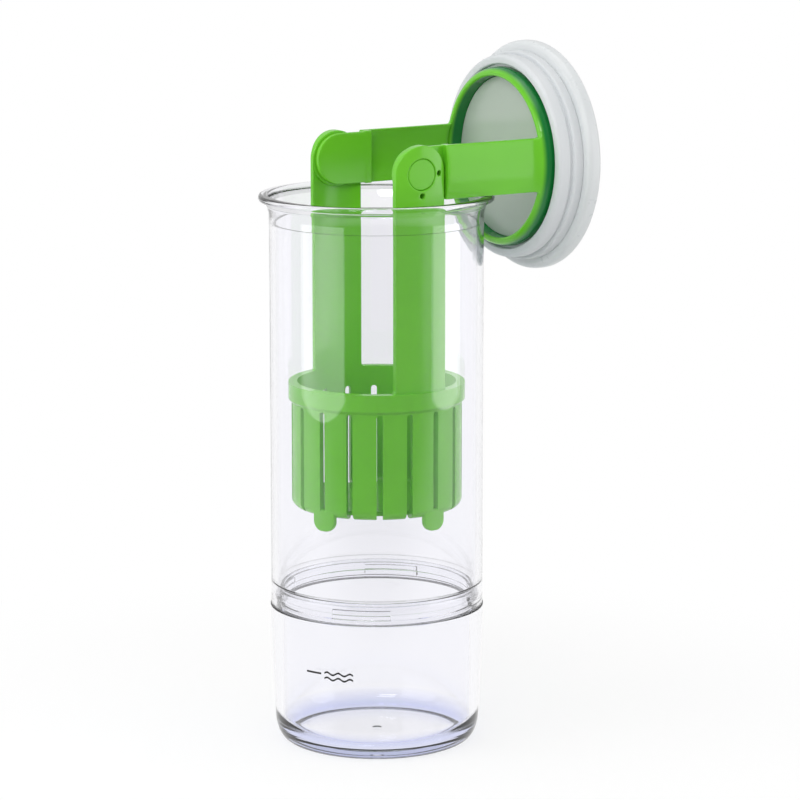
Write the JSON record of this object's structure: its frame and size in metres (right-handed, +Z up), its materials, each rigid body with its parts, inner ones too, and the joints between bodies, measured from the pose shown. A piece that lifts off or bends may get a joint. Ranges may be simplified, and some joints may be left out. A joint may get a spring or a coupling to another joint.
{
  "type": "herb keeper",
  "caption": "Tall clear tube on a twist-off clear cup, with a slotted basket on two uprights that lifts out and a round sealing lid that folds out on two arms.",
  "frame": {"origin": "centre of the cup's base, on the surface that the keeper stands on", "axes": "+Z up the axis of the tube; +X towards the folded-out lid; Y along the lid's pivots"},
  "size_m": [0.1323, 0.1, 0.2975],
  "materials": {
    "clear_plastic": "clear polished plastic with a faint blue cast",
    "black_ink": "thin black pad-printed ink",
    "green_plastic": "lime green moulded plastic, satin gloss",
    "white_plastic": "white moulded plastic, satin",
    "white_seal": "soft white moulded elastomer, satin",
    "pale_plastic": "pale grey-white plastic, polished"
  },
  "bodies": {
    "cup": {"cup": "clear_plastic", "level_mark": "black_ink"},
    "tube": {"tube": "clear_plastic"},
    "basket": {"basket": "green_plastic"},
    "lid": {"lid_frame": "green_plastic", "lid_cap": "white_plastic", "lid_seal": "white_seal", "lid_liner": "pale_plastic"}
  },
  "joints": [
    {"name": "tube_twist", "type": "hinge", "parent": "cup", "child": "tube", "pos_m": [0, 0, 0.06], "axis": [0, 0, 1], "range_deg": [0, 45]},
    {"name": "basket_lift", "type": "slide", "parent": "tube", "child": "basket", "axis": [0, 0, 1], "range_m": [0, 0.145]},
    {"name": "lid_fold", "type": "hinge", "parent": "basket", "child": "lid", "pos_m": [0, 0, 0.24805], "axis": [0, -1, 0], "range_deg": [0, 90]}
  ]
}
